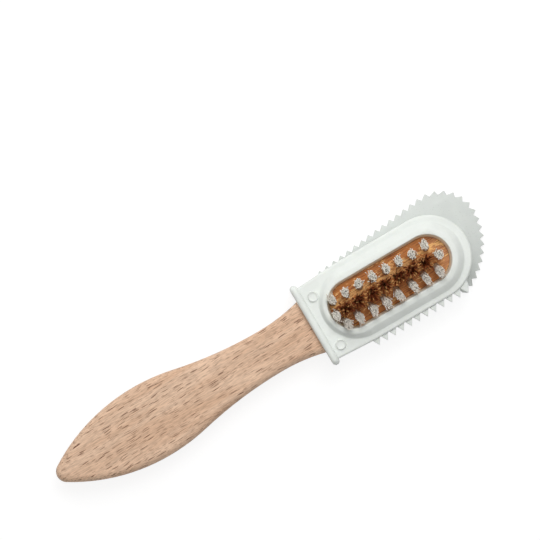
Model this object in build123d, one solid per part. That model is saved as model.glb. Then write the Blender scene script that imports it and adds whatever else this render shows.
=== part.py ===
from build123d import *
import os
from math import atan2, cos, pi, radians, sin, sqrt, tan

# A suede brush lying on its back, in millimetres. A beech board is set with nylon and brass tufts.
# Its head wears a moulded rubber sleeve with a window for the bristles, a coarse comb and a toothed skirt.
# X runs from the end of the handle to the tip of the head, +Y is the skirt's side, +Z the bristle side.
# The origin lies in the flat back of the sleeve, under the middle of its window.

# Window in the front of the sleeve
window_length = 55.5
window_width = 20.5
window_draft = 1.1

# Lip round the window, and the shelf outside it
lip_band = 2.3
lip_slope = 2.6
collar_lip_band = 1.65
collar_lip_slope = 1.45
lip_rise = 2.6
lip_bevel = 0.4
side_shelf = 2.35
tip_shelf = 3.3
shelf_round = 0.9

# Walls of the sleeve
back_wall = 2.0
front_wall = 2.0
side_wall = 3.3
tip_wall = 2.6
mouth_land = 5.9
mouth_taper = 1.0
flare_run = 17.6

# Collar bead round the mouth of the sleeve
collar_thickness = 3.1
collar_overhang = 1.85
collar_rise = 1.2
collar_corner_radius = 2.6
collar_round_share = 0.48

# Two round pips between the window and the collar
pip_radius = 2.3
pip_rise = 0.8
pip_setback = 3.65
pip_inset = 5.3
pip_shift = 0.8
pip_draft = 0.25

# Coarse comb along the -Y side
comb_pitch = 3.78
comb_depth = 3.3
comb_bite = 0.5
comb_thickness = 2.6
comb_drop = 1.2
comb_setback = 15.3
comb_overreach = 8.95

# Fine-toothed skirt at the back of the sleeve, on the +Y side and round the tip
# Its places and radii are those of the line through the roots of its teeth
skirt_thickness = 2.2
skirt_setback = 9.15
skirt_stand = 4.0
skirt_reach = 7.5
skirt_bow_radius = 14.4
skirt_sweep_radius = 28.9
skirt_edge_angle = 5.9
skirt_bow_angle = 101.0
skirt_sweep_angle = 67.0
tooth_pitch = 3.54
sweep_tooth_pitch = 3.38
tooth_depth = 1.8
tooth_lean_share = 0.65

# Beech board: handle and head in one piece
board_thickness = 12.0
edge_round = 3.0
grip_length = 119.5
end_radius = 4.4
belly_width = 31.4
belly_reach = 43.9
belly_bend_share = 0.32
waist_width = 18.8
waist_setback = 19.0
neck_bend_share = 0.74
shoulder_run = 12.0
round_reach = 0.8
sleeve_clearance = 0.1

# Holes and the tufts set in them, with margins from the ends of the window
hole_radius = 1.5
hole_sides = 10
hole_depth = 7.0
tuft_clearance = 0.05
collar_end_margin = 3.65
tip_end_margin = 8.45
row_spacing = 4.3
nylon_per_row = 8
brass_count = 7
end_tuft_margin = 1.7

# Nylon bristles: the rows lean apart, the tuft beside the collar leans to it, and all fan out
nylon_length = 9.0
nylon_strands = 14
nylon_strand_radius = 0.22
nylon_root_radius = 1.1
nylon_tip_radius = 1.8
nylon_lean = 2.1
nylon_end_lean = 0.9

# Brass bristles, all bent a little to the -Y side by use
brass_length = 8.4
brass_lean = 1.1
brass_strands = 17
brass_strand_radius = 0.14
brass_root_radius = 1.15
brass_tip_radius = 2.3

# Every bristle: number of flat sides, and length sunk in the root of its tuft
strand_sides = 3
strand_sink = 0.6

# Flat wire anchors that hold each tuft at the bottom of its hole
anchor_thickness = 0.5
anchor_width = 4.0
anchor_height = 2.0

# Overrun of the cuts
overrun = 1.0

# Levels
board_back_z = back_wall
board_front_z = board_back_z + board_thickness
shelf_z = board_front_z + front_wall
lip_z = shelf_z + lip_rise
hole_floor_z = board_front_z - hole_depth

# Plan of the sleeve
window_end = window_length / 2
body_half = window_width / 2 + lip_band + lip_slope + side_shelf
mouth_half = body_half - mouth_taper
tip_x = window_end + lip_band + lip_slope + tip_shelf
nose_x = tip_x - body_half
mouth_x = -window_end - mouth_land
collar_x = mouth_x - collar_thickness

# Plan of the board
head_half = body_half - side_wall
head_nose_x = tip_x - tip_wall - head_half
handle_end_x = collar_x - grip_length

# Field of tufts
field_start = collar_end_margin - window_end
field_end = window_end - tip_end_margin
field_middle = (field_start + field_end) / 2
tuft_pitch = (field_end - field_start) / (nylon_per_row - 1)

golden_angle = pi * (3 - sqrt(5))


def stadium(left, right, radius, z):
    """Face with two half-round ends, from x = left to x = right."""
    top = Line((left + radius, radius), (right - radius, radius))
    right_end = TangentArc(top @ 1, (right - radius, -radius), tangent=top % 1)
    bottom = Line(right_end @ 1, (left + radius, -radius))
    left_end = TangentArc(bottom @ 1, top @ 0, tangent=bottom % 1)
    return Pos(0, 0, z) * make_face([top, right_end, bottom, left_end])


def swell(start, end, first_share):
    """Two tangent arcs between two widths, level at both ends; the first takes a share of the run."""
    meeting = (start[0] + first_share * (end[0] - start[0]), start[1] + first_share * (end[1] - start[1]))
    first = TangentArc(start, meeting, tangent=(1, 0))
    return [first, TangentArc(first @ 1, end, tangent=first % 1)]


def board_plan(extra):
    """Outline of handle and head, wider all round by extra."""
    belly = (handle_end_x + belly_reach, belly_width / 2 + extra)
    waist = (collar_x - waist_setback, waist_width / 2 + extra)
    shoulder = (collar_x + shoulder_run, head_half + extra)
    butt_x, butt_radius = handle_end_x + end_radius, end_radius + extra
    butt_run = belly[0] - butt_x
    flank_radius = (butt_run**2 + belly[1] ** 2 - butt_radius**2) / (2 * (belly[1] - butt_radius))
    slope = atan2(butt_run, flank_radius - belly[1])
    butt_end = (butt_x - butt_radius * sin(slope), butt_radius * cos(slope))
    butt = TangentArc((butt_x - butt_radius, 0), butt_end, tangent=(0, 1))
    flank = TangentArc(butt @ 1, belly, tangent=butt % 1)
    cheek = Line(shoulder, (head_nose_x, shoulder[1]))
    nose = TangentArc(cheek @ 1, (head_nose_x + shoulder[1], 0), tangent=(1, 0))
    waist_curve = swell(belly, waist, belly_bend_share) + swell(waist, shoulder, neck_bend_share)
    upper = [butt, flank, *waist_curve, cheek, nose]
    lower = [mirror(edge, Plane.XZ) for edge in upper]
    return Pos(0, 0, board_back_z) * make_face(upper + lower)


def board(extra):
    """Handle and head in one board, rounded over up to the sleeve and square inside it."""
    square = extrude(board_plan(extra), board_thickness)
    rims = square.faces().sort_by(Axis.Z)
    rounded = fillet(rims[0].edges() + rims[-1].edges(), edge_round)
    head_zone = Box(2 * tip_x, 2 * body_half, shelf_z, align=(Align.MIN, Align.CENTER, Align.MIN))
    return rounded + (square & Pos(mouth_x + round_reach, 0, 0) * head_zone)


def row(count, y):
    """Places of one row of tufts, evenly spaced about the middle of the tuft field."""
    first = field_middle - tuft_pitch * (count - 1) / 2
    return [(first + tuft_pitch * i, y) for i in range(count)]


def outer_row_places():
    """Places of the nylon tufts in the two outer rows."""
    return row(nylon_per_row, row_spacing) + row(nylon_per_row, -row_spacing)


def brass_places():
    """Places of the brass tufts along the middle row."""
    return row(brass_count, 0)


def end_places():
    """Places of the nylon tufts that close the middle row at each end."""
    near = -window_end + window_draft + end_tuft_margin
    far = brass_places()[-1][0] + tuft_pitch
    return [(near, 0), (far, 0)]


def anchor(place):
    """Flat wire across the bottom of one hole, with both ends in the wood."""
    x, y = place
    bar = Box(anchor_thickness, anchor_width, anchor_height, align=(Align.CENTER, Align.CENTER, Align.MIN))
    return Pos(x, y, hole_floor_z) * bar


def hole_bar(place, radius, height):
    """Upright bar in a tuft's hole, drawn with a few flat sides to keep the repeats light."""
    x, y = place
    return extrude(Pos(x, y, hole_floor_z) * RegularPolygon(radius, hole_sides), height)


def handle():
    """Board with a blind hole and an anchor slot under each tuft."""
    places = outer_row_places() + end_places() + brass_places()
    holes = [hole_bar(place, hole_radius, hole_depth + overrun) for place in places]
    return board(0) - holes - [anchor(place) for place in places]


def strand(root, tip, radius, turn):
    """One bristle with flat sides, cut level at both ends."""
    outline = Rot(0, 0, turn) * RegularPolygon(radius, strand_sides)
    return Solid.extrude((Pos(*root) * outline).face(), Vector(*tip) - Vector(*root))


def tuft(place, lean, length, count, strand_radius, root_radius, tip_radius):
    """Root bundle in its hole, and the bristles that fan out of it without crossing."""
    x, y = place
    root_z = board_front_z - strand_sink
    tip_z = board_front_z + length
    root_ring = root_radius - strand_radius
    strands = []
    for i in range(count):
        ring = sqrt((i + 0.5) / count)
        angle = i * golden_angle
        across, along = ring * cos(angle), ring * sin(angle)
        root = (x + root_ring * across, y + root_ring * along, root_z)
        tip = (x + lean[0] + tip_radius * across, y + lean[1] + tip_radius * along, tip_z)
        strands.append(strand(root, tip, strand_radius, i * 360 / count))
    bundle = hole_bar(place, hole_radius - tuft_clearance, hole_depth) - anchor(place)
    return bundle.fuse(*strands)


def nylon_tuft(place):
    """White nylon tuft: the rows lean apart, and the tuft beside the collar leans to it."""
    x, y = place
    lean = (-nylon_end_lean if x < field_start else 0, nylon_lean * y / row_spacing)
    radii = (nylon_strand_radius, nylon_root_radius, nylon_tip_radius)
    return tuft(place, lean, nylon_length, nylon_strands, *radii)


def brass_tuft(place):
    """Brass wire tuft."""
    radii = (brass_strand_radius, brass_root_radius, brass_tip_radius)
    return tuft(place, (0, -brass_lean), brass_length, brass_strands, *radii)


def sleeve_body():
    """Outer block of the sleeve, which widens from the mouth and ends in a half-round nose."""
    flare_x = mouth_x + flare_run
    lower = Polyline((mouth_x, -mouth_half), (flare_x, -body_half), (nose_x, -body_half))
    nose = TangentArc(lower @ 1, (nose_x, body_half), tangent=(1, 0))
    upper = Polyline((nose_x, body_half), (flare_x, body_half), (mouth_x, mouth_half))
    block = extrude(make_face([lower, nose, upper, Line(upper @ 1, lower @ 0)]), shelf_z)
    shelf_edges = block.faces().sort_by(Axis.Z)[-1].edges().sort_by(Axis.X)[1:]
    return fillet(shelf_edges, shelf_round)


def window_lip():
    """Raised lip: a flat band round the window, narrow and steep beside the collar."""
    band_end = window_end + lip_band
    collar_end = window_end + collar_lip_band
    band_half = window_width / 2 + lip_band
    top = stadium(-collar_end, band_end, band_half, lip_z)
    foot = stadium(-collar_end - collar_lip_slope, band_end + lip_slope, band_half + lip_slope, shelf_z)
    lip = loft([foot, top], ruled=True)
    lip = chamfer(lip.faces().sort_by(Axis.Z)[-1].edges(), lip_bevel)
    return lip + extrude(foot, board_front_z - shelf_z)


def window_opening():
    """Opening for the bristles, whose walls close in a little towards the wood."""
    outer = stadium(-window_end, window_end, window_width / 2, lip_z)
    inner_end = window_end - window_draft
    inner = stadium(-inner_end, inner_end, window_width / 2 - window_draft, board_front_z)
    return loft([inner, outer], ruled=True) + extrude(outer, overrun)


def collar():
    """Rounded bead that closes the mouth of the sleeve round the neck of the board."""
    half = mouth_half + collar_overhang
    height = shelf_z + collar_rise
    bar = Box(collar_thickness, 2 * half, height, align=(Align.MIN, Align.CENTER, Align.MIN))
    bar = Pos(collar_x, 0, 0) * bar
    corners = bar.edges().filter_by(Axis.X).group_by(Axis.Z)[-1]
    bar = fillet(corners, collar_corner_radius)
    rims = bar.faces().filter_by(Axis.X).edges()
    floor_edges = bar.faces().sort_by(Axis.Z)[0].edges()
    bead_edges = [edge for edge in rims if edge not in floor_edges]
    return fillet(bead_edges, collar_thickness * collar_round_share)


def pip(side):
    """Low round pip beside the window, a little narrower at the top."""
    x, y = mouth_x + pip_setback, side * (mouth_half - pip_inset) - pip_shift
    top_radius = pip_radius - pip_draft
    disc = Cone(pip_radius, top_radius, pip_rise, align=(Align.CENTER, Align.CENTER, Align.MIN))
    return Pos(x, y, shelf_z) * disc


def coarse_comb():
    """Flange with a row of V teeth under the shelf, on the -Y side."""
    start = mouth_x + comb_setback
    count = int((nose_x + comb_overreach - start) / comb_pitch)
    root_y = comb_bite - body_half
    points = [(start, 0), (start, root_y)]
    for i in range(count):
        points.append((start + comb_pitch * (i + 0.5), root_y - comb_depth))
        points.append((start + comb_pitch * (i + 1), root_y))
    points.append((points[-1][0], 0))
    flange = make_face(Polyline(*points, close=True))
    return extrude(Pos(0, 0, shelf_z - comb_drop - comb_thickness) * flange, comb_thickness)


def saw_teeth(roots, pitch):
    """Roots and tips of the teeth along a line of roots; the tips lean forwards and stand to its left."""
    count = round(roots.length / pitch)
    points = []
    for i in range(count):
        tip = (i + tooth_lean_share) / count
        outward = (roots % tip).rotate(Axis.Z, 90)
        points += [roots @ (i / count), (roots @ tip) + outward * tooth_depth]
    return points


def toothed_skirt():
    """Thin skirt whose saw teeth lean towards the tip and follow a straight edge and two arcs."""
    bow_y = body_half + skirt_stand - skirt_bow_radius
    bow_x = tip_x + skirt_reach - skirt_bow_radius
    rise = radians(skirt_edge_angle)
    bow_start = (bow_x - skirt_bow_radius * sin(rise), bow_y + skirt_bow_radius * cos(rise))
    edge_start_x = mouth_x + skirt_setback
    edge_start = (edge_start_x, bow_start[1] - (bow_start[0] - edge_start_x) * tan(rise))
    straight = Line(edge_start, bow_start)
    bow = JernArc(straight @ 1, straight % 1, skirt_bow_radius, -skirt_bow_angle)
    sweep = JernArc(bow @ 1, bow % 1, skirt_sweep_radius, -skirt_sweep_angle)
    points = saw_teeth(Wire([straight, bow]), tooth_pitch) + saw_teeth(sweep, sweep_tooth_pitch)
    points += [sweep @ 1, Vector(nose_x, 0), Vector(edge_start_x, 0)]
    return extrude(make_face(Polyline(*points, close=True)), skirt_thickness)


def rubber_sleeve():
    """One rubber moulding pulled over the head of the board."""
    solid = sleeve_body() + window_lip() + collar() + pip(1) + pip(-1) + coarse_comb() + toothed_skirt()
    return solid - board(sleeve_clearance) - window_opening()


def save(name, shape):
    """Write one named piece, or one group of alike pieces."""
    export_step(shape, f"parts/{name}.step")


os.makedirs("parts", exist_ok=True)
save("handle", handle())
save("rubber_sleeve", rubber_sleeve())

nylon_places = outer_row_places() + end_places()
for number, place in enumerate(nylon_places, start=1):
    save(f"nylon_tuft_{number:02d}", nylon_tuft(place))
for number, place in enumerate(brass_places(), start=1):
    save(f"brass_tuft_{number}", brass_tuft(place))
save("nylon_anchors", Compound([anchor(place) for place in nylon_places]))
save("brass_anchors", Compound([anchor(place) for place in brass_places()]))
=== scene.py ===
"""Suede brush: a beech board, a rubber sleeve, and tufts of nylon and brass.

The board and the anchors are finished where the CAD model has them. The sleeve and the tufts take
the places of their plainer CAD nodes.
"""

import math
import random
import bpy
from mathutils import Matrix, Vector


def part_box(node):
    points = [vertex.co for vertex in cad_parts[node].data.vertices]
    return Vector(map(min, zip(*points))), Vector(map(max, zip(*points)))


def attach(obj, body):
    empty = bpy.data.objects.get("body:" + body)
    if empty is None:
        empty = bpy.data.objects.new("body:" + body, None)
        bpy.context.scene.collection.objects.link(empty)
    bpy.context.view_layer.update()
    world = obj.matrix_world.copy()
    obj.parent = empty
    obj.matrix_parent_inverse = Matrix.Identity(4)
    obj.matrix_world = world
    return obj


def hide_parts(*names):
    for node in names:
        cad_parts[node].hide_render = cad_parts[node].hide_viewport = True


bl_info = {
    "name": "Suede Brush",
    "version": (1, 0, 0),
    "blender": (4, 5, 0),
    "location": "3D Viewport > Sidebar > Suede Brush",
    "description": "Builds a suede brush with a beech board, a rubber sleeve and set tufts",
    "category": "Object",
}

import bpy
from bpy.props import FloatProperty, FloatVectorProperty, IntProperty, PointerProperty
from mathutils import Vector

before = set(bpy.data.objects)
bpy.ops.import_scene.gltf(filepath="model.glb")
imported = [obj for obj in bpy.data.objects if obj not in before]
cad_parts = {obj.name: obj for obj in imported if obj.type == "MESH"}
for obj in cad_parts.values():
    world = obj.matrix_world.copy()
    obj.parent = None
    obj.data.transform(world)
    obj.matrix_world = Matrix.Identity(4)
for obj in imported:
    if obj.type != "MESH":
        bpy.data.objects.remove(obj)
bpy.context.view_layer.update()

MM = 0.001
MM_PER_METRE = 1000
FULL_TURN = 6.28
GOLDEN_ANGLE = math.pi * (3 - math.sqrt(5))
LEVEL_ROOM = 0.01 * MM  # points this close in height are on one level

# Board and sleeve. The origin lies under the middle of the window.
BOARD_LOW, BOARD_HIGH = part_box("handle")
WOOD_FRONT = BOARD_HIGH.z
SLEEVE_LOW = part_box("rubber_sleeve")[0]
POCKET_HALF = 14.4 * MM
POCKET_ROOM = 0.2 * MM
COLLAR_FOOT_X = SLEEVE_LOW.x + 3.1 * MM
COLLAR_ROOM = 1.5 * POCKET_ROOM
BODY_HALF = 17.5 * MM
BODY_START_X = -30 * MM
NOSE_X = 18.45 * MM
WALL_ROOM = 0.06 * MM
SHELF_ROUND_LOW = 15.05 * MM
SHELF_ROUND_WIDTH = 1.2 * MM
SKIRT_HIGH = 2.6 * MM
SKIRT_START_X, SKIRT_START_Y = -2.0 * MM, 16 * MM
PIP_PLACES = (Vector((-30.0, 10.4)) * MM, Vector((-30.0, -12.0)) * MM)
PIP_MIDDLE_ROOM = 0.5 * MM
PIP_FOOT_HIGH = 16.05 * MM
PIP_FOOT_REACH = 2.7 * MM
FIELD_STRAIGHT = 17.0  # millimetres, half of the straight part of the tuft field
FIELD_FADE = (9.5, 13.0)  # millimetres from that part, where its painted shade starts to fade and ends

# Angles over which an edge counts as sharp, and under which faces count as one.
FLAT_ANGLE = math.radians(0.6)
MOULD_EDGE_ANGLE = math.radians(28)
MOULD_SMOOTH_ANGLE = math.radians(32)
PLUG_EDGE_ANGLE = math.radians(30)
TUFT_SMOOTH_ANGLE = math.radians(50)
MERGE_DISTANCE = 0.002 * MM

# Bound root of a tuft, the same for both kinds.
ROOT_Z = WOOD_FRONT - 1.4 * MM
ROOT_THICKNESS = 0.75  # share of a strand's thickness that is left where it is bound
PLUG_TOP = WOOD_FRONT - 0.7 * MM
PLUG_RADIUS = 1.41 * MM
PLUG_ROUND = 0.3 * MM
PLUG_SIDES = 24
PLUG_TONE = (0.5, 0.0)
FOOT_ROOM = 0.03 * MM
SLOT_WIDTH = 0.54 * MM
SLOT_HEIGHT = 2.03 * MM

# Fan of strands: scatter of the angles, and how far the fan is oval and three-lobed.
ANGLE_SCATTER = 0.15
OVAL = 0.12
LOBES = 0.1

# Unevenness of the tufts. Scatters, reaches and drops are in millimetres. A stray has its share
# of the strands, its reach outwards and its drop. A strand has its sides, its steps along its
# height and the share of its thickness that is left at the tip.
NYLON_SEED = 100
NYLON_STRAND = (6, 4, 0.95)
NYLON_CURVE = 0.2
NYLON_TUFT_SCATTER = 0.2
NYLON_TIP_SCATTER = 0.13
NYLON_BOW = 0.12
NYLON_RAGGED_POWER = 1.6
NYLON_STRAY = (0.07, (0.4, 1.5), (0.3, 1.2))
LOWER_ROW_Y = -2 * MM
WINDOW_END_X = SLEEVE_LOW.x + 14 * MM
WINDOW_PUSH = Vector((0.7, 0.5)) * MM

BRASS_SEED = 300
BRASS_STRAND = (3, 16, 0.9)
BRASS_CURVE = 0.3
BRASS_TIP_SCATTER = 0.12
BRASS_DROOP = 0.9
BRASS_STRAY = (0.12, (0.4, 1.2), (0.4, 1.6))
CLUMPS_ACROSS = 3.6
CLUMP_PULL = 0.55
CLUMP_SCATTER_X, CLUMP_SCATTER_Y = (0, 0.5), (-0.2, 0.55)
CRIMP_COUNT_SPREAD = (0.85, 1.15)
CRIMP_SWING_SPREAD = (0.6, 1.3)
CRIMP_ONSET = 4
# Painted shade of the brass wires: by clump, at random, and more in the middle of the fan, where
# the bundle shades itself.
SHADE_CLUMP, SHADE_WIRE, SHADE_MIDDLE = 0.65, 0.15, 0.35

# Stage, in metres.
FLOOR_SIZE = 6.0
FLOOR_GLOW = 1.12
LAMP_SIZE = 0.5
KEY_OFFSET = Vector((0.32, 0.32, 0.78))
FILL_OFFSET = Vector((0.0, 0.78, 0.45))
SENSOR_WIDTH = 36.0  # millimetres
CLIP_START = 0.01


def linear(red, green, blue):
    """Scene-linear colour of an 8-bit screen colour."""
    parts = []
    for part in (red, green, blue):
        level = part / 255
        parts.append(level / 12.92 if level <= 0.04045 else ((level + 0.055) / 1.055) ** 2.4)
    return tuple(parts)


def length(name, description, default):
    """Property in metres that is shown as a length."""
    return FloatProperty(
        name=name, description=description, default=default, min=0.0,
        unit="LENGTH", subtype="DISTANCE", precision=5,
    )


def colour(name, description, default):
    """Property that holds a scene-linear colour."""
    return FloatVectorProperty(
        name=name, description=description, default=default, min=0.0, max=1.0,
        size=3, subtype="COLOR",
    )


def portion(name, description, default):
    """Property that is a share of a whole."""
    return FloatProperty(name=name, description=description, default=default, min=0.0, max=1.0)


def brightness(name, description, default):
    """Property for the strength of a light."""
    return FloatProperty(name=name, description=description, default=default, min=0.0)


def strands(name, description, default, most):
    """Property for the number of strands in a tuft."""
    return IntProperty(name=name, description=description, default=default, min=12, max=most)


class SuedeBrushNylon(bpy.types.PropertyGroup):
    filaments: strands("Filaments", "Filaments in one nylon tuft", 92, 160)
    diameter: length("Filament diameter", "Thickness of one nylon filament", 0.38 * MM)
    root_radius: length("Root radius", "Radius of the bundle in its hole", 1.22 * MM)
    tip_width: length("Tip width", "Half width of the fan along the board", 1.65 * MM)
    tip_depth: length("Tip depth", "Half width of the fan across the board", 2.05 * MM)
    sweep: length("Sweep", "How far wear has pushed the tips to one side", 0.9 * MM)
    raggedness: length("Raggedness", "How far the filament ends differ in height", 0.9 * MM)
    tint: colour("Tint", "Colour of the nylon", linear(250, 245, 234))
    # Painted shade: the lower row lies in the shade of the brass tufts, so its colour is painted
    # darker.
    shaded_row_tint: colour(
        "Shaded row tint", "Darker colour painted on the lower row as its shade", linear(230, 223, 212)
    )
    # Painted light and shade: the wood's colour that shows through the translucent filaments near
    # their root, and the shade there.
    root: colour(
        "Root tint", "Colour that the wood lends to the foot of the filaments",
        linear(232, 192, 148),
    )


class SuedeBrushBrass(bpy.types.PropertyGroup):
    wires: strands("Wires", "Wires in one brass tuft", 140, 240)
    diameter: length("Wire diameter", "Thickness of one brass wire", 0.3 * MM)
    root_radius: length("Root radius", "Radius of the bundle in its hole", 1.15 * MM)
    tip_width: length("Tip width", "Half width of the fan along the board", 3.5 * MM)
    tip_depth: length("Tip depth", "Half width of the fan across the board", 2.8 * MM)
    lift: length("Lift", "How far the dark middle of the fan stands up from its lean", 1.1 * MM)
    crimp_height: length("Crimp height", "Half height of the waves in a wire", 0.1 * MM)
    crimp_pitch: length("Crimp pitch", "Length of one wave in a wire", 1.9 * MM)
    raggedness: length("Raggedness", "How far the wire ends differ in height", 1.0 * MM)
    bright: colour("Bright brass", "Colour of the wires near the wood", linear(255, 200, 128))
    # Painted shade: the dark colour stands for the shade inside the bundle and on the wire ends.
    dark: colour("Dark brass", "Colour painted on the shaded wires and wire ends", linear(138, 64, 22))


class SuedeBrushBeech(bpy.types.PropertyGroup):
    pale: colour("Pale wood", "Lighter tone of the beech", linear(233, 198, 169))
    deep: colour("Deep wood", "Darker tone of the beech", linear(219, 180, 149))
    fleck: colour("Fleck", "Colour of the short rays that show as flecks", linear(104, 62, 38))
    # Painted shade: the darker, more orange tone of the wood in the deep window, where the sleeve
    # shades it and the wood's light bounces back onto it.
    window_shade: colour("Window shade", "Tone of the wood under the tufts", linear(198, 121, 48))
    # Painted reflection: the golden light that the brass wires throw onto the wood beside them.
    brass_reflection: colour(
        "Brass reflection", "Lightest tone of the wood under the tufts", linear(255, 202, 130)
    )
    dark_grain: colour(
        "Dark grain", "Darkest tone of the wood under the tufts", linear(132, 72, 38)
    )
    fleck_length: length("Fleck length", "Usual length of a fleck along the grain", 4.8 * MM)
    fleck_width: length("Fleck width", "Usual width of a fleck", 0.37 * MM)
    fleck_share: portion("Fleck share", "Share of the places that hold a fleck", 0.3)


class SuedeBrushRubber(bpy.types.PropertyGroup):
    edge_round: length("Edge round", "Radius left by the mould on the sleeve's edges", 0.24 * MM)
    pip_rim: length("Pip rim", "Width of a pip's raised rim and of the slope inside it", 0.35 * MM)
    pip_dish: length("Pip dish", "Depth of the dish in a pip", 0.3 * MM)
    body: colour("Rubber", "Colour of the thick parts", linear(234, 238, 233))
    thin: colour("Thin rubber", "Colour of the thin skirt", linear(212, 216, 212))
    speck: colour("Speck", "Colour of the small marks in the rubber", linear(196, 200, 194))
    # Painted light: the wood's colour bounced onto the wall of the window.
    wood_bounce: colour(
        "Wood bounce", "Colour of the wood's light painted on the wall of the window", linear(246, 230, 202)
    )
    # Painted shade: the dark line of the gap where the wall of the window meets the wood.
    seam: colour(
        "Seam", "Colour of the line where the window meets the wood", linear(86, 54, 30)
    )


class SuedeBrushStage(bpy.types.PropertyGroup):
    aim: FloatVectorProperty(
        name="Aim", description="Point of the floor under the camera",
        default=(-39.4 * MM, 28.52 * MM, 0.0), subtype="TRANSLATION", unit="LENGTH",
    )
    distance: length("Camera height", "Height of the camera above the floor", 2.0)
    turn: FloatProperty(
        name="Turn", description="Turn of the picture", default=math.radians(-30.5),
        subtype="ANGLE",
    )
    lens: FloatProperty(
        name="Lens", description="Focal length in millimetres", default=326.9, min=10.0
    )
    floor: colour("Floor", "Colour of the floor", (0.9, 0.9, 0.9))
    glow_share: portion(
        "Glow share", "Share of the floor that is plain white to the camera", 0.75
    )
    key: brightness("Key lamp", "Power of the high lamp in watts", 3.7)
    fill: brightness("Fill lamp", "Power of the low lamp in watts", 2.1)
    sky: brightness("Sky", "Level of the light from straight above", 0.88)


class SuedeBrushSettings(bpy.types.PropertyGroup):
    nylon: PointerProperty(type=SuedeBrushNylon)
    brass: PointerProperty(type=SuedeBrushBrass)
    beech: PointerProperty(type=SuedeBrushBeech)
    rubber: PointerProperty(type=SuedeBrushRubber)
    stage: PointerProperty(type=SuedeBrushStage)


def deselect_all():
    bpy.ops.object.select_all(action="DESELECT")


def pick(obj):
    """Makes obj the one selected and active object."""
    deselect_all()
    obj.select_set(True)
    bpy.context.view_layer.objects.active = obj


def edit(obj):
    """Opens obj in edit mode with all of it selected."""
    pick(obj)
    bpy.ops.object.mode_set(mode="EDIT")
    bpy.ops.mesh.select_all(action="SELECT")


def close_edit():
    bpy.ops.object.mode_set(mode="OBJECT")


def select_edges(obj, wanted, sharper_than):
    """Selects in edit mode the sharp edges whose two ends pass the test."""
    bpy.ops.mesh.select_all(action="DESELECT")
    bpy.ops.mesh.select_mode(type="EDGE")
    bpy.ops.mesh.edges_select_sharp(sharpness=sharper_than)
    bpy.ops.object.mode_set(mode="OBJECT")
    mesh = obj.data
    chosen = []
    for edge in mesh.edges:
        if edge.select and wanted(*(mesh.vertices[i].co for i in edge.vertices)):
            chosen.append(edge)
    if not chosen:
        raise RuntimeError("no edge found on " + obj.name)
    for part in (mesh.polygons, mesh.edges, mesh.vertices):
        part.foreach_set("select", [False] * len(part))
    for edge in chosen:
        edge.select = True
    bpy.ops.object.mode_set(mode="EDIT")


def select_faces(obj, wanted):
    """Selects in edit mode the faces that pass the test."""
    bpy.ops.mesh.select_all(action="DESELECT")
    bpy.ops.mesh.select_mode(type="FACE")
    bpy.ops.object.mode_set(mode="OBJECT")
    chosen = [face for face in obj.data.polygons if wanted(face)]
    if not chosen:
        raise RuntimeError("no face found on " + obj.name)
    for face in chosen:
        face.select = True
    bpy.ops.object.mode_set(mode="EDIT")


def remove(obj):
    """Deletes a helper object and its mesh."""
    mesh = obj.data
    bpy.data.objects.remove(obj)
    bpy.data.meshes.remove(mesh)


def pattern_of(obj):
    """Vertices and faces of a modelled pattern, which is then removed."""
    mesh = obj.data
    pattern = ([v.co.copy() for v in mesh.vertices], [tuple(p.vertices) for p in mesh.polygons])
    remove(obj)
    return pattern


def strand_pattern(radius, height, sides, steps, tip_share):
    """One straight bristle that stands on its root and narrows a little at the tip."""
    deselect_all()
    bpy.ops.mesh.primitive_circle_add(
        vertices=sides, radius=radius, fill_type="NGON", location=(0, 0, 0)
    )
    strand = bpy.context.object
    edit(strand)
    rise = {"value": (0, 0, height / steps)}
    for _ in range(steps):
        bpy.ops.mesh.extrude_region_move(TRANSFORM_OT_translate=rise)
    bpy.ops.transform.resize(value=(tip_share, tip_share, 1))
    bpy.ops.mesh.select_all(action="SELECT")
    bpy.ops.mesh.normals_make_consistent(inside=False)
    close_edit()
    return pattern_of(strand)


def plug_pattern(low):
    """Bound root of a tuft: a round plug with a slot across its foot for the wire anchor."""
    deselect_all()
    bpy.ops.mesh.primitive_cylinder_add(
        vertices=PLUG_SIDES, radius=PLUG_RADIUS, depth=PLUG_TOP - low, end_fill_type="NGON",
        location=(0, 0, (low + PLUG_TOP) / 2),
    )
    plug = bpy.context.object
    bpy.ops.object.transform_apply(location=True, rotation=True, scale=True)
    edit(plug)
    rim = PLUG_TOP - LEVEL_ROOM
    select_edges(plug, lambda one, other: min(one.z, other.z) > rim, PLUG_EDGE_ANGLE)
    bpy.ops.mesh.bevel(offset=PLUG_ROUND, offset_type="OFFSET", segments=2, affect="EDGES")
    close_edit()
    deselect_all()
    bpy.ops.mesh.primitive_cube_add(size=1, location=(0, 0, low))
    cutter = bpy.context.object
    cutter.scale = (SLOT_WIDTH, 4 * PLUG_RADIUS, 2 * SLOT_HEIGHT)
    bpy.ops.object.transform_apply(location=True, rotation=True, scale=True)
    cut = plug.modifiers.new("slot", "BOOLEAN")
    cut.operation = "DIFFERENCE"
    cut.solver = "EXACT"
    cut.object = cutter
    pick(plug)
    bpy.ops.object.modifier_apply(modifier=cut.name)
    remove(cutter)
    return pattern_of(plug)


def tufts_of(prefix, diameter, strand):
    """Names of the CAD tufts of one kind, and the height, the strand and the plug they share."""
    nodes = sorted(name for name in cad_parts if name.startswith(prefix))
    low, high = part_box(nodes[0])
    height = high.z - ROOT_Z
    pattern = strand_pattern(diameter / 2, height, *strand)
    return nodes, height, pattern, plug_pattern(low.z + FOOT_ROOM)


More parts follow.
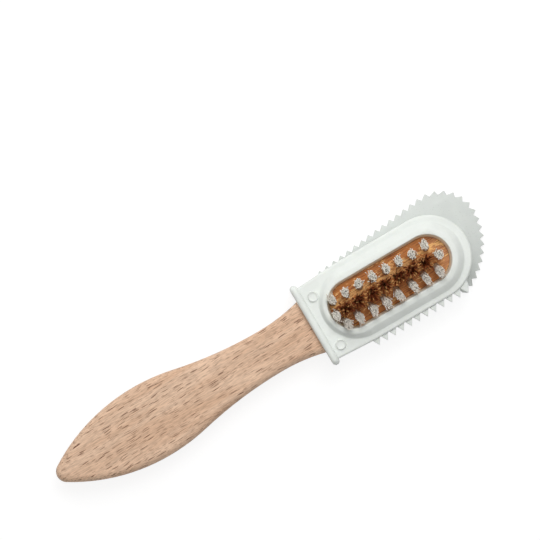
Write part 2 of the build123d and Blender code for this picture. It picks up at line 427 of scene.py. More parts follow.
def tuft_ends(node):
    """Middle of a CAD tuft at its foot and at its tips."""
    points = [v.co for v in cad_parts[node].data.vertices]
    ends = []
    for level in (min(p.z for p in points), max(p.z for p in points)):
        ring = [p for p in points if abs(p.z - level) < LEVEL_ROOM]
        ends.append(Vector((
            (min(p.x for p in ring) + max(p.x for p in ring)) / 2,
            (min(p.y for p in ring) + max(p.y for p in ring)) / 2,
            level,
        )))
    return ends


def scatter(rng, spread):
    """Random shift across the board, by its spread in millimetres."""
    return Vector((rng.gauss(0, spread), rng.gauss(0, spread))) * MM


def stray(rng, across, share, reach, drop):
    """How far a strand is out of line at its tip, and how far it drops: not at all for most."""
    if rng.random() >= share:
        return Vector((0.0, 0.0)), 0.0
    return across.normalized() * rng.uniform(*reach) * MM, rng.uniform(*drop) * MM


def fan(rng, count, look, foot, lean):
    """Root and tip of each strand of an uneven fan, and its place in the bundle."""
    twist, bulge = rng.uniform(0, FULL_TURN), rng.uniform(0, FULL_TURN)
    for i in range(count):
        ring = math.sqrt((i + 0.5) / count)
        angle = i * GOLDEN_ANGLE + rng.uniform(-ANGLE_SCATTER, ANGLE_SCATTER)
        across = Vector((math.cos(angle), math.sin(angle))) * ring
        uneven = 1 + OVAL * math.sin(2 * angle + twist) + LOBES * math.sin(3 * angle + bulge)
        reach = Vector((across.x * look.tip_width, across.y * look.tip_depth)) * uneven
        yield foot.xy + across * look.root_radius, foot.xy + lean + reach, across


def bow(side):
    """Sideways shift of a strand that bends to one side between its ends."""
    return lambda share: side * math.sin(math.pi * share)


def crimp(swing, count, start):
    """Sideways shift of a waved wire, which is straight where it is bound."""
    return lambda share: swing * (
        math.sin(2 * math.pi * count * share + start) * min(1.0, CRIMP_ONSET * share)
    )


def strand_path(root, tip, curve, sideways, rise):
    """Line from root to tip that leans over more and more on its way up."""
    def at(share):
        flat = root.lerp(tip, (1 - curve) * share + curve * share * share) + sideways(share)
        return Vector((flat.x, flat.y, ROOT_Z + rise * share))
    return at


def place_tuft(node, pattern, plug, height, paths, row_shade, material):
    """Sets a full tuft in place of a CAD one: its plug, and the pattern bent along each path."""
    foot = tuft_ends(node)[0]
    verts = [Vector((foot.x + co.x, foot.y + co.y, co.z)) for co in plug[0]]
    faces = list(plug[1])
    tones = [PLUG_TONE] * len(verts)
    for path, turn, chance in paths:
        start = len(verts)
        cosine, sine = math.cos(turn), math.sin(turn)
        for co in pattern[0]:
            share = co.z / height
            across = Vector((co.x * cosine - co.y * sine, co.x * sine + co.y * cosine, 0))
            thickness = ROOT_THICKNESS + (1 - ROOT_THICKNESS) * share
            verts.append(path(share) + across * thickness)
            tones.append((chance, share))
        faces.extend(tuple(start + i for i in face) for face in pattern[1])
    name = node + "_full"
    mesh = bpy.data.meshes.new(name)
    mesh.from_pydata(verts, [], faces)
    strand = mesh.color_attributes.new("strand", "FLOAT_COLOR", "POINT")
    colours = [part for chance, share in tones for part in (chance, share, row_shade, 1.0)]
    strand.data.foreach_set("color", colours)
    mesh.update()
    mesh.materials.append(material)
    tuft = bpy.data.objects.new(name, mesh)
    bpy.context.scene.collection.objects.link(tuft)
    pick(tuft)
    bpy.ops.object.shade_smooth_by_angle(angle=TUFT_SMOOTH_ANGLE)
    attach(tuft, "root")
    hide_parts(node)


class NodeTree:
    """Short way to add and link shader nodes."""

    def __init__(self, tree):
        self.tree = tree

    def add(self, kind, inputs=None, **settings):
        """New node with its settings made and its inputs linked or set."""
        node = self.tree.nodes.new(kind)
        node.location = (220 * (len(self.tree.nodes) - 1), 0)
        for key, value in settings.items():
            setattr(node, key, value)
        self.fill(node, inputs or {})
        return node

    def fill(self, node, inputs):
        for key, value in inputs.items():
            self.put(value, node.inputs[key])

    def put(self, value, socket):
        """Links an output to the socket, or gives the socket a constant."""
        if isinstance(value, bpy.types.NodeSocket):
            self.tree.links.new(value, socket)
        elif socket.type == "RGBA" and len(value) == 3:
            socket.default_value = (*value, 1.0)
        else:
            socket.default_value = value

    def group(self, name, build, inputs=None):
        """Node of a shared group, which is built when it is first used."""
        node = self.add("ShaderNodeGroup")
        node.node_tree = bpy.data.node_groups.get(name) or build(name)
        self.fill(node, inputs or {})
        return node.outputs

    def math(self, operation, first, second=0.0, third=0.0, clamp=False):
        inputs = {0: first, 1: second, 2: third}
        node = self.add("ShaderNodeMath", inputs, operation=operation, use_clamp=clamp)
        return node.outputs[0]

    def ramp(self, value, low, high, to_low=0.0, to_high=1.0):
        """Smooth step from one level to another while the value goes from low to high."""
        node = self.add("ShaderNodeMapRange", {
            "Value": value, "From Min": low, "From Max": high, "To Min": to_low, "To Max": to_high,
        }, interpolation_type="SMOOTHSTEP")
        return node.outputs["Result"]

    def mix(self, factor, first, second, blend="MIX"):
        inputs = {"Factor": factor, "A": first, "B": second}
        node = self.add("ShaderNodeMix", inputs, data_type="RGBA", blend_type=blend)
        return node.outputs["Result"]

    def noise(self, vector, scale=1.0, detail=3.0, roughness=0.5, distortion=0.0):
        node = self.add("ShaderNodeTexNoise", {
            "Vector": vector, "Scale": scale, "Detail": detail, "Roughness": roughness,
            "Distortion": distortion,
        })
        return node.outputs["Fac"]

    def bump(self, height, depth, strength):
        """Normal from a height that is 0 to 1, where 1 stands for the given depth."""
        inputs = {"Height": height, "Distance": depth, "Strength": strength}
        return self.add("ShaderNodeBump", inputs).outputs["Normal"]

    def millimetres(self, stretch=(1.0, 1.0, 1.0)):
        """Object coordinates in millimetres, each divided by its stretch."""
        place = self.add("ShaderNodeTexCoord").outputs["Object"]
        scale = tuple(MM_PER_METRE / part for part in stretch)
        return self.add("ShaderNodeMapping", {"Vector": place, "Scale": scale}).outputs["Vector"]

    def xyz(self, vector):
        return self.add("ShaderNodeSeparateXYZ", {0: vector}).outputs

    def rgb(self, tone):
        return self.add("ShaderNodeSeparateColor", {0: tone}).outputs


def new_group(name, inputs, outputs):
    """Empty shader node group of numbers: its inputs with their defaults, and its outputs."""
    tree = bpy.data.node_groups.new(name, "ShaderNodeTree")
    for label, default in inputs.items():
        socket = tree.interface.new_socket(
            name=label, in_out="INPUT", socket_type="NodeSocketFloat"
        )
        socket.default_value = default
    for label in outputs:
        tree.interface.new_socket(name=label, in_out="OUTPUT", socket_type="NodeSocketFloat")
    nodes = NodeTree(tree)
    return nodes, nodes.add("NodeGroupInput").outputs, nodes.add("NodeGroupOutput").inputs


def mottle_group(name):
    """Soft patches and a fine skin: Tone is 0 to 1 about a half, Height feeds a bump."""
    nodes, given, results = new_group(
        name, {"Patch Size": 6.0, "Skin Size": 0.3, "Contrast": 0.5}, ("Tone", "Height")
    )
    place = nodes.millimetres()
    patches = nodes.noise(place, nodes.math("DIVIDE", 1.0, given["Patch Size"]), 4.0, 0.55)
    skin = nodes.noise(place, nodes.math("DIVIDE", 1.0, given["Skin Size"]), 2.0, 0.5)
    spread = nodes.math("SUBTRACT", patches, 0.5)
    tone = nodes.math("MULTIPLY_ADD", spread, given["Contrast"], 0.5, clamp=True)
    height = nodes.math("MULTIPLY_ADD", patches, 0.6, nodes.math("MULTIPLY", skin, 0.4))
    nodes.put(tone, results["Tone"])
    nodes.put(height, results["Height"])
    return nodes.tree


def flecks_group(name):
    """Short marks that lie along X: Mask is 1 inside a mark and fades at its rim."""
    nodes, given, results = new_group(
        name, {"Length": 3.0, "Width": 0.4, "Share": 0.5, "Seed": 0.0}, ("Mask", "Chance")
    )
    cell = 1.4  # size of the place that a mark has, against the size of the mark
    parts = nodes.xyz(nodes.millimetres())
    # The marks lie slightly aslant and follow the waves of the grain.
    drift = nodes.noise(nodes.millimetres((14.0, 5.0, 5.0)), detail=1.0)
    slanted = nodes.math("MULTIPLY_ADD", parts["X"], -0.03, parts["Y"])
    waved = nodes.math("MULTIPLY_ADD", drift, 2.2, slanted)
    long = nodes.math("MULTIPLY", given["Length"], cell)
    wide = nodes.math("MULTIPLY", given["Width"], cell)
    cells = nodes.add("ShaderNodeCombineXYZ", {
        "X": nodes.math("DIVIDE", nodes.math("ADD", parts["X"], given["Seed"]), long),
        "Y": nodes.math("DIVIDE", waved, wide),
        "Z": nodes.math("DIVIDE", parts["Z"], wide),
    }).outputs[0]
    pattern = {"Vector": cells, "Scale": 1.0, "Randomness": 0.9}
    spots = nodes.add("ShaderNodeTexVoronoi", pattern).outputs
    chance = nodes.rgb(spots["Color"])
    least = nodes.math("SUBTRACT", 1.0, given["Share"])
    present = nodes.math("GREATER_THAN", chance[0], least)
    size = nodes.math("MULTIPLY_ADD", chance[2], 0.16, 0.29)
    reach = nodes.math("MULTIPLY", present, size)
    rim = nodes.math("SUBTRACT", reach, spots["Distance"])
    nodes.put(nodes.ramp(rim, 0.0, 0.1), results["Mask"])
    nodes.put(chance[1], results["Chance"])
    return nodes.tree


def flecks(nodes, long, wide, share, seed):
    """Layer of flecks, with their sizes in millimetres."""
    inputs = {"Length": long, "Width": wide, "Share": share, "Seed": seed}
    return nodes.group("Flecks", flecks_group, inputs)


def strand_group(name):
    """Reads the strand attribute.

    Chance is a strand's own, Along runs from its root to its tip, and the third part is the tuft's
    own share of the painted shade that darkens the lower row.
    """
    labels = ("Chance", "Along", "Row Shade")
    nodes, _, results = new_group(name, {}, labels)
    stored = nodes.add(
        "ShaderNodeAttribute", attribute_type="GEOMETRY", attribute_name="strand"
    ).outputs["Color"]
    for label, part in zip(labels, nodes.rgb(stored)):
        nodes.put(part, results[label])
    return nodes.tree


def new_material(name, viewport):
    """Material with an empty tree, and the nodes that end it."""
    material = bpy.data.materials.new(name)
    material.use_nodes = True
    material.diffuse_color = (*viewport, 1.0)
    material.node_tree.nodes.clear()
    nodes = NodeTree(material.node_tree)
    shader = nodes.add("ShaderNodeBsdfPrincipled")
    end = nodes.add("ShaderNodeOutputMaterial", {"Surface": shader.outputs[0]})
    end.location = (500, 400)
    shader.location = (200, 400)
    return material, nodes, shader.inputs


def beech_material(look):
    """Beech with dark flecks along its grain, with painted shade and brass reflections where the
    tufts stand.
    """
    material, nodes, shader = new_material("Beech", look.pale)
    bands = nodes.noise(nodes.millimetres((60.0, 6.5, 6.5)), roughness=0.55, distortion=0.3)
    fibres = nodes.noise(nodes.millimetres((4.5, 0.42, 0.42)), detail=4.0, roughness=0.62)
    long, wide = look.fleck_length * MM_PER_METRE, look.fleck_width * MM_PER_METRE
    marks = flecks(nodes, long, wide, look.fleck_share, 0.0)
    dashes = flecks(nodes, 0.7 * long, 0.85 * wide, look.fleck_share, 53.0)
    pores = flecks(nodes, 2.2, 0.26, 0.5, 37.0)
    tone = nodes.mix(nodes.ramp(bands, 0.34, 0.68), look.pale, look.deep)
    tone = nodes.mix(1.0, tone, nodes.ramp(fibres, 0.34, 0.66, 0.8, 1.1), "MULTIPLY")
    # Each kind of fleck, with the strength of its faintest and of its darkest ones.
    kinds = ((pores, 0.15, 0.5), (dashes, 0.25, 0.85), (marks, 0.4, 1.0))
    flecked = tone
    for layer, faintest, darkest in kinds:
        strength = nodes.ramp(layer["Chance"], 0.0, 1.0, faintest, darkest)
        flecked = nodes.mix(nodes.math("MULTIPLY", layer["Mask"], strength), flecked, look.fleck)
    # Inside the window the wood gets painted shade and painted reflections of the brass.
    window_tone = shaded_window_wood(nodes, look, tone, marks["Mask"])
    nodes.put(nodes.mix(tuft_field(nodes), flecked, window_tone), shader["Base Color"])
    nodes.put(nodes.ramp(fibres, 0.2, 0.8, 0.5, 0.66), shader["Roughness"])
    shader["Specular IOR Level"].default_value = 0.35
    height = nodes.math("MULTIPLY_ADD", marks["Mask"], -0.6, fibres)
    nodes.put(nodes.bump(height, 0.05 * MM, 0.6), shader["Normal"])
    return material


def tuft_field(nodes):
    """Mask that is 1 on the part of the board inside the window of the sleeve."""
    place = nodes.xyz(nodes.millimetres())
    past = nodes.math("SUBTRACT", nodes.math("ABSOLUTE", place["X"]), FIELD_STRAIGHT)
    reach = nodes.math("MAXIMUM", past, 0.0)
    flat = nodes.add("ShaderNodeCombineXYZ", {"X": reach, "Y": place["Y"]}).outputs[0]
    distance = nodes.add("ShaderNodeVectorMath", {0: flat}, operation="LENGTH").outputs["Value"]
    return nodes.ramp(distance, *FIELD_FADE, 1.0, 0.0)


def shaded_window_wood(nodes, look, tone, marks):
    """Wood between the tufts, darker and more orange by painted shade of the deep window, with dark
    grain and painted golden reflections of the brass.
    """
    grain = nodes.noise(
        nodes.millimetres((7.0, 0.3, 0.3)), detail=4.0, roughness=0.65, distortion=0.4
    )
    patches = nodes.noise(nodes.millimetres((2.2, 0.9, 0.9)), detail=2.0)
    place = nodes.xyz(nodes.millimetres())
    # The painted shade gets weaker towards the tip of the board.
    window_shade = nodes.ramp(place["X"], 18.0, 25.0, 0.93, 0.72)
    window_tone = nodes.mix(window_shade, tone, look.window_shade)
    # More painted golden reflections of the brass lie between the brass row and the nylon row above
    # it.
    past_brass = nodes.ramp(place["Y"], 1.4, 2.4)
    before_nylon = nodes.ramp(place["Y"], 4.0, 5.4, 1.0, 0.0)
    between = nodes.math("MULTIPLY", past_brass, before_nylon)
    reflection_amount = nodes.math("MULTIPLY_ADD", between, 0.22, patches)
    window_tone = nodes.mix(nodes.ramp(reflection_amount, 0.55, 0.7), window_tone, look.brass_reflection)
    window_tone = nodes.mix(nodes.ramp(grain, 0.44, 0.7, 0.0, 0.8), window_tone, look.dark_grain)
    return nodes.mix(nodes.math("MULTIPLY", marks, 0.8), window_tone, look.dark_grain)


def rubber_material(look):
    """White rubber that is greyer where it is thin, with painted light from the wood on the
    window's wall and a painted contact shadow where it meets the wood.
    """
    material, nodes, shader = new_material("Moulded rubber", look.body)
    sizes = {"Patch Size": 7.0, "Skin Size": 0.35, "Contrast": 1.2}
    skin = nodes.group("Mottle", mottle_group, sizes)
    specks = flecks(nodes, 0.5, 0.36, 0.16, 11.0)
    height = nodes.xyz(nodes.millimetres())["Z"]
    # The rubber is greyer near the back, where the thin skirt is.
    low = nodes.ramp(height, 2.25, 3.2, 1.0, 0.0)
    tone = nodes.mix(low, look.body, look.thin)
    tone = nodes.mix(1.0, tone, nodes.ramp(skin["Tone"], 0.2, 0.8, 0.965, 1.02), "MULTIPLY")
    amount = nodes.math("MULTIPLY", specks["Mask"], nodes.math("MULTIPLY_ADD", low, 0.5, 0.12))
    tone = nodes.mix(amount, tone, look.speck)
    # The wall of the window gets painted light, the wood's colour bounced onto it, and a painted
    # contact shadow, a dark line where it meets the wood.
    front = WOOD_FRONT * MM_PER_METRE
    field = tuft_field(nodes)
    # Painted light: the wood's colour bounced onto the foot of the window's wall.
    wood_bounce = nodes.ramp(height, front + 1.0, front + 5.0, 0.85, 0.0)
    tone = nodes.mix(nodes.math("MULTIPLY", field, wood_bounce), tone, look.wood_bounce)
    # Painted shade in the gap where the wall meets the wood.
    seam = nodes.ramp(height, front + 0.1, front + 0.7, 1.0, 0.0)
    tone = nodes.mix(nodes.math("MULTIPLY", field, seam), tone, look.seam)
    nodes.put(tone, shader["Base Color"])
    nodes.put(nodes.ramp(skin["Height"], 0.3, 0.7, 0.42, 0.54), shader["Roughness"])
    shader["Specular IOR Level"].default_value = 0.4
    shader["Subsurface Weight"].default_value = 0.25
    shader["Subsurface Radius"].default_value = (1.0, 1.0, 0.9)
    shader["Subsurface Scale"].default_value = 0.8 * MM
    nodes.put(nodes.bump(skin["Height"], 0.06 * MM, 0.5), shader["Normal"])
    return material


def nylon_material(look):
    """White nylon whose filaments differ a little, with painted light and shade: the wood's colour
    painted at the root, as it shows through the translucent filaments there, and a darker lower
    row.
    """
    material, nodes, shader = new_material("White nylon", look.tint)
    strand = nodes.group("Strand", strand_group)
    shade = nodes.math("MULTIPLY_ADD", strand["Chance"], 0.22, 0.82, clamp=True)
    # Painted shade: the lower row is painted darker, as the shade of the brass tufts beside it.
    tone = nodes.mix(strand["Row Shade"], look.tint, look.shaded_row_tint)
    # Painted light and shade at the foot of the filaments, in the wood's colour.
    tone = nodes.mix(nodes.ramp(strand["Along"], 0.1, 0.85, 0.7, 0.0), tone, look.root)
    nodes.put(nodes.mix(1.0, tone, shade, "MULTIPLY"), shader["Base Color"])
    nodes.put(nodes.ramp(strand["Chance"], 0.0, 1.0, 0.25, 0.4), shader["Roughness"])
    return material


def brass_material(look):
    """Brass wire with painted light and shade: bright at the root, and painted darker towards the
    tips and on many whole wires, as the shade inside the bundle, so the bright wires show as lit
    lines.
    """
    material, nodes, shader = new_material("Brass wire", look.bright)
    strand = nodes.group("Strand", strand_group)
    # A wire is either bright or painted dark as shade over most of its length, and few are between.
    chance = nodes.ramp(strand["Chance"], 0.36, 0.5, -0.95, 0.4)
    painted_shade = nodes.math("ADD", nodes.ramp(strand["Along"], 0.2, 0.8), chance, clamp=True)
    nodes.put(nodes.mix(painted_shade, look.bright, look.dark), shader["Base Color"])
    nodes.put(nodes.ramp(painted_shade, 0.0, 1.0, 0.32, 0.55), shader["Roughness"])
    shader["Metallic"].default_value = 0.4
    return material


def anchor_material():
    """Plain steel wire with fine drawing lines."""
    material, nodes, shader = new_material("Anchor wire", (0.55, 0.55, 0.56))
    drawn = nodes.noise(nodes.millimetres((0.08, 3.0, 0.08)), detail=2.0)
    nodes.put(nodes.mix(drawn, (0.5, 0.5, 0.51), (0.62, 0.62, 0.62)), shader["Base Color"])
    nodes.put(nodes.ramp(drawn, 0.3, 0.7, 0.28, 0.45), shader["Roughness"])
    shader["Metallic"].default_value = 1.0
    return material


def set_material(obj, material):
    """Gives a whole piece one finish."""
    obj.data.materials.clear()
    obj.data.materials.append(material)


class SUEDEBRUSH_OT_nylon_tufts(bpy.types.Operator):
    """Sets a full white nylon tuft in place of each plain one"""

    bl_idname = "suede_brush.nylon_tufts"
    bl_label = "Nylon tufts"
    bl_options = {"REGISTER", "UNDO"}

    def execute(self, context):
        look = context.scene.suede_brush.nylon
        material = nylon_material(look)
        nodes, height, pattern, plug = tufts_of("nylon_tuft_", look.diameter, NYLON_STRAND)
        for number, node in enumerate(nodes):
            rng = random.Random(NYLON_SEED + number)
            foot, head = tuft_ends(node)
            lean = Vector((head.x - foot.x, head.y - foot.y - look.sweep))
            lean = lean + self.window_push(foot) + scatter(rng, NYLON_TUFT_SCATTER)
            paths = []
            for root, tip, across in fan(rng, look.filaments, look, foot, lean):
                tip += scatter(rng, NYLON_TIP_SCATTER)
                drop = look.raggedness * rng.random() ** NYLON_RAGGED_POWER
                out, fall = stray(rng, across, *NYLON_STRAY)
                drop += fall
                side = bow(scatter(rng, NYLON_BOW))
                path = strand_path(root, tip + out, NYLON_CURVE, side, height - drop)
                paths.append((path, rng.uniform(0, FULL_TURN), rng.random()))
            # The lower row takes the painted shade.
            row_shade = 1.0 if foot.y < LOWER_ROW_Y else 0.0
            place_tuft(node, pattern, plug, height, paths, row_shade, material)
        return {"FINISHED"}

    @staticmethod
    def window_push(foot):
        """How far the end of the window pushes back the tips of the lower row beside it."""
        beside_wall = foot.x < WINDOW_END_X and foot.y < LOWER_ROW_Y
        return WINDOW_PUSH if beside_wall else Vector((0.0, 0.0))


class SUEDEBRUSH_OT_brass_tufts(bpy.types.Operator):
    """Sets a full tuft of crimped brass wire in place of each plain one"""

    bl_idname = "suede_brush.brass_tufts"
    bl_label = "Brass tufts"
    bl_options = {"REGISTER", "UNDO"}

    def execute(self, context):
        look = context.scene.suede_brush.brass
        material = brass_material(look)
        nodes, height, pattern, plug = tufts_of("brass_tuft_", look.diameter, BRASS_STRAND)
        for number, node in enumerate(nodes):
            rng = random.Random(BRASS_SEED + number)
            foot, head = tuft_ends(node)
            lean = Vector((head.x - foot.x, head.y - foot.y + look.lift))
            paths = []
            clumps = {}
            for root, tip, across in fan(rng, look.wires, look, foot, lean):
                cell = (round(across.x * CLUMPS_ACROSS), round(across.y * CLUMPS_ACROSS))
                if cell not in clumps:
                    clumps[cell] = (rng.random(), self.clump_shift(rng))
                clump_tone, clump_shift = clumps[cell]
                middle = Vector((cell[0] * look.tip_width, cell[1] * look.tip_depth))
                middle = foot.xy + lean + middle / CLUMPS_ACROSS
                tip = tip.lerp(middle, CLUMP_PULL) + clump_shift
                tip += scatter(rng, BRASS_TIP_SCATTER)
                tip.y += min(0.0, across.y) * BRASS_DROOP * MM
                drop = look.raggedness * rng.random()
                out, fall = stray(rng, across, *BRASS_STRAY)
                drop += fall
                count = height / look.crimp_pitch * rng.uniform(*CRIMP_COUNT_SPREAD)
                start = rng.uniform(0, FULL_TURN)
                turn = rng.uniform(0, FULL_TURN)
                swing = Vector((math.cos(turn), math.sin(turn))) * look.crimp_height
                waves = crimp(swing * rng.uniform(*CRIMP_SWING_SPREAD), count, start)
                # Painted shade: whole clumps, single wires at random and the middle of the fan are
                # painted darker.
                wire_shade = (
                    SHADE_CLUMP * clump_tone + SHADE_WIRE * rng.random()
                    + SHADE_MIDDLE * (1 - across.length)
                )
                path = strand_path(root, tip + out, BRASS_CURVE, waves, height - drop)
                paths.append((path, turn, min(1.0, wire_shade)))
            place_tuft(node, pattern, plug, height, paths, 0.0, material)
        return {"FINISHED"}

    @staticmethod
    def clump_shift(rng):
        """How far the ends of the wires that hold together are moved."""
        return Vector((rng.gauss(*CLUMP_SCATTER_X), rng.gauss(*CLUMP_SCATTER_Y))) * MM


class SUEDEBRUSH_OT_rubber_sleeve(bpy.types.Operator):
    """Makes the moulded sleeve with softly rounded edges"""

    bl_idname = "suede_brush.rubber_sleeve"
    bl_label = "Rubber sleeve"
    bl_options = {"REGISTER", "UNDO"}

    def execute(self, context):
        look = context.scene.suede_brush.rubber
        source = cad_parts["rubber_sleeve"]
        sleeve = bpy.data.objects.new("rubber_sleeve_soft", source.data.copy())
        context.scene.collection.objects.link(sleeve)
        edit(sleeve)
        bpy.ops.mesh.customdata_custom_splitnormals_clear()
        bpy.ops.mesh.remove_doubles(threshold=MERGE_DISTANCE)
        bpy.ops.mesh.dissolve_limited(angle_limit=FLAT_ANGLE)
        select_faces(sleeve, self.pip_top)
        bpy.ops.mesh.inset(thickness=look.pip_rim, depth=0.0)
        bpy.ops.mesh.inset(thickness=look.pip_rim, depth=-look.pip_dish)
        select_edges(sleeve, self.to_round, MOULD_EDGE_ANGLE)
        bpy.ops.mesh.bevel(
            offset=look.edge_round, offset_type="OFFSET", segments=3, affect="EDGES",
            clamp_overlap=False, miter_outer="ARC",
        )
        close_edit()
        bpy.ops.object.shade_smooth_by_angle(angle=MOULD_SMOOTH_ANGLE)
        set_material(sleeve, rubber_material(look))
        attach(sleeve, "root")
        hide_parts("rubber_sleeve")
        return {"FINISHED"}

    @staticmethod
    def near_pip(co, reach):
        return any((co.xy - place).length < reach for place in PIP_PLACES)

    @classmethod
    def pip_top(cls, face):
        """True for the flat top of a round pip on the mouth of the sleeve."""
        return face.normal.z > 0.99 and cls.near_pip(face.center, PIP_MIDDLE_ROOM)

    @classmethod
    def to_round(cls, one, other):
        """True for an edge that is rounded: in view, and not where a tooth or a pip joins a wall.

        Rounding the slanted and narrow joints would fold small faces over.
        """
        at_joint = all(cls.on_wall(co) or cls.at_pip_foot(co) for co in (one, other))
        return cls.outside(one) and cls.outside(other) and not at_joint

    @staticmethod
    def on_wall(co):
        """True on the side walls, the round nose and the soft round between them and the shelf."""
        from_middle = math.hypot(max(0.0, co.x - NOSE_X), co.y)
        if co.z > SHELF_ROUND_LOW:
            return co.x > BODY_START_X and from_middle > BODY_HALF - SHELF_ROUND_WIDTH
        return abs(from_middle - BODY_HALF) < WALL_ROOM

    @classmethod
    def at_pip_foot(cls, co):
        return co.z < PIP_FOOT_HIGH and cls.near_pip(co, PIP_FOOT_REACH)

    @staticmethod
    def outside(co):
        """True away from the pocket, the collar's foot and the slanted start of the skirt."""
        in_pocket = (
            SLEEVE_LOW.x + POCKET_ROOM < co.x < BOARD_HIGH.x + POCKET_ROOM
            and abs(co.y) < POCKET_HALF
            and BOARD_LOW.z - POCKET_ROOM < co.z < BOARD_HIGH.z + POCKET_ROOM
        )
        at_skirt_start = co.z < SKIRT_HIGH and co.x < SKIRT_START_X and co.y > SKIRT_START_Y
        at_collar_foot = abs(co.x - COLLAR_FOOT_X) <= COLLAR_ROOM
        return not (in_pocket or at_skirt_start or at_collar_foot)


class SUEDEBRUSH_OT_beech_board(bpy.types.Operator):
    """Finishes the beech board with its grain, flecks and the painted shade and brass reflections
    of its tuft field
    """

    bl_idname = "suede_brush.beech_board"
    bl_label = "Beech board"
    bl_options = {"REGISTER", "UNDO"}

    def execute(self, context):
        material = beech_material(context.scene.suede_brush.beech)
        set_material(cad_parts["handle"], material)
        return {"FINISHED"}


class SUEDEBRUSH_OT_anchors(bpy.types.Operator):
    """Finishes the wire anchors at the bottom of the holes"""

    bl_idname = "suede_brush.anchors"
    bl_label = "Wire anchors"
    bl_options = {"REGISTER", "UNDO"}

    def execute(self, context):
        material = anchor_material()
        for node in ("nylon_anchors", "brass_anchors"):
            set_material(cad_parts[node], material)
        return {"FINISHED"}


def floor_material(look):
    """White floor that looks a little brighter to the camera, so that only a shadow shows."""
    material = bpy.data.materials.new("White floor")
    material.use_nodes = True
    material.node_tree.nodes.clear()
    nodes = NodeTree(material.node_tree)
    plain = nodes.add("ShaderNodeBsdfDiffuse", {"Color": look.floor}).outputs[0]
    glow = nodes.add(
        "ShaderNodeEmission", {"Color": (1.0, 1.0, 1.0), "Strength": FLOOR_GLOW}
    ).outputs[0]
    lit = nodes.add("ShaderNodeMixShader", {0: look.glow_share, 1: plain, 2: glow}).outputs[0]
    ray = nodes.add("ShaderNodeLightPath").outputs
    seen = nodes.math("MAXIMUM", ray["Is Camera Ray"], ray["Is Glossy Ray"])
    mixed = nodes.add("ShaderNodeMixShader", {0: seen, 1: plain, 2: lit}).outputs[0]
    nodes.add("ShaderNodeOutputMaterial", {"Surface": mixed})
    return material


def white_world(level):
    """Soft light that is strongest from above, seen as plain white."""
    world = bpy.data.worlds.new("White room")
    world.use_nodes = True
    world.node_tree.nodes.clear()
    nodes = NodeTree(world.node_tree)
    ray = nodes.add("ShaderNodeLightPath").outputs
    up = nodes.xyz(nodes.add("ShaderNodeTexCoord").outputs["Generated"])["Z"]
    falloff = nodes.math("POWER", nodes.math("MAXIMUM", up, 0.0), 2.0)
    inputs = {"Factor": ray["Is Camera Ray"], "A": nodes.math("MULTIPLY", falloff, level), "B": 1.0}
    strength = nodes.add("ShaderNodeMix", inputs, data_type="FLOAT").outputs["Result"]
    sky = nodes.add("ShaderNodeBackground", {"Color": (1.0, 1.0, 1.0), "Strength": strength})
    nodes.add("ShaderNodeOutputWorld", {"Surface": sky.outputs[0]})
    return world


def add_lamp(name, offset, aim, power):
    """Square lamp that stands off from the aim and shines on it."""
    place = aim + offset
    bpy.ops.object.light_add(type="AREA", location=place)
    lamp = bpy.context.object
    lamp.name = name
    lamp.rotation_euler = (aim - place).to_track_quat("-Z", "Y").to_euler()
    lamp.data.shape = "SQUARE"
    lamp.data.size = LAMP_SIZE
    lamp.data.energy = power


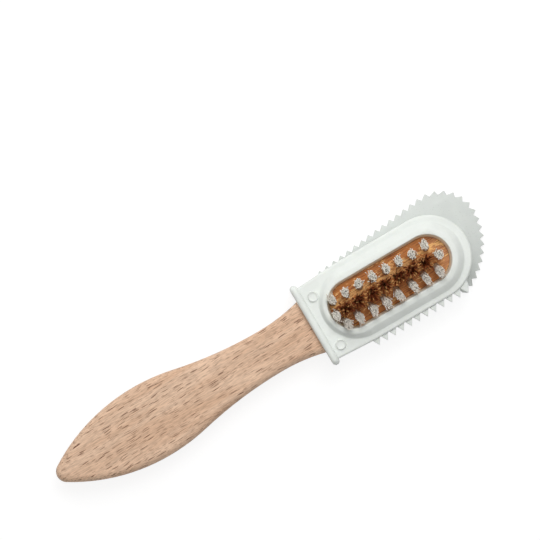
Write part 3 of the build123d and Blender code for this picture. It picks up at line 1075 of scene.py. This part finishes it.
class SUEDEBRUSH_OT_stage(bpy.types.Operator):
    """Sets out the floor, the lights and the camera"""

    bl_idname = "suede_brush.stage"
    bl_label = "Stage"
    bl_options = {"REGISTER", "UNDO"}

    def execute(self, context):
        look = context.scene.suede_brush.stage
        scene = context.scene
        scene.view_settings.view_transform = "Standard"
        deselect_all()
        bpy.ops.mesh.primitive_plane_add(size=FLOOR_SIZE, location=(0, 0, 0))
        floor = context.object
        floor.name = "floor"
        set_material(floor, floor_material(look))
        scene.world = white_world(look.sky)
        aim = Vector(look.aim)
        add_lamp("key", KEY_OFFSET, aim, look.key)
        add_lamp("fill", FILL_OFFSET, aim, look.fill)
        bpy.ops.object.camera_add(
            location=aim + Vector((0, 0, look.distance)), rotation=(0, 0, look.turn)
        )
        camera = context.object
        camera.name = "camera"
        camera.data.sensor_width = SENSOR_WIDTH
        camera.data.lens = look.lens
        camera.data.clip_start = CLIP_START
        scene.camera = camera
        return {"FINISHED"}


OPERATORS = (
    SUEDEBRUSH_OT_beech_board,
    SUEDEBRUSH_OT_rubber_sleeve,
    SUEDEBRUSH_OT_nylon_tufts,
    SUEDEBRUSH_OT_brass_tufts,
    SUEDEBRUSH_OT_anchors,
    SUEDEBRUSH_OT_stage,
)


class SUEDEBRUSH_PT_panel(bpy.types.Panel):
    """Sizes, colours and building steps of the suede brush"""

    bl_idname = "SUEDEBRUSH_PT_panel"
    bl_label = "Suede Brush"
    bl_space_type = "VIEW_3D"
    bl_region_type = "UI"
    bl_category = "Suede Brush"

    def draw(self, context):
        settings = context.scene.suede_brush
        for name in ("nylon", "brass", "beech", "rubber", "stage"):
            box = self.layout.box()
            box.label(text=name.capitalize())
            group = getattr(settings, name)
            for key in group.__annotations__:
                box.prop(group, key)
        for operator in OPERATORS:
            self.layout.operator(operator.bl_idname)


CLASSES = (
    SuedeBrushNylon,
    SuedeBrushBrass,
    SuedeBrushBeech,
    SuedeBrushRubber,
    SuedeBrushStage,
    SuedeBrushSettings,
    *OPERATORS,
    SUEDEBRUSH_PT_panel,
)


def register():
    for item in CLASSES:
        bpy.utils.register_class(item)
    bpy.types.Scene.suede_brush = PointerProperty(type=SuedeBrushSettings)


def unregister():
    del bpy.types.Scene.suede_brush
    for item in reversed(CLASSES):
        bpy.utils.unregister_class(item)


def main():
    register()
    bpy.ops.suede_brush.beech_board()
    bpy.ops.suede_brush.rubber_sleeve()
    bpy.ops.suede_brush.nylon_tufts()
    bpy.ops.suede_brush.brass_tufts()
    bpy.ops.suede_brush.anchors()
    bpy.ops.suede_brush.stage()


if __name__ == "__main__":
    main()
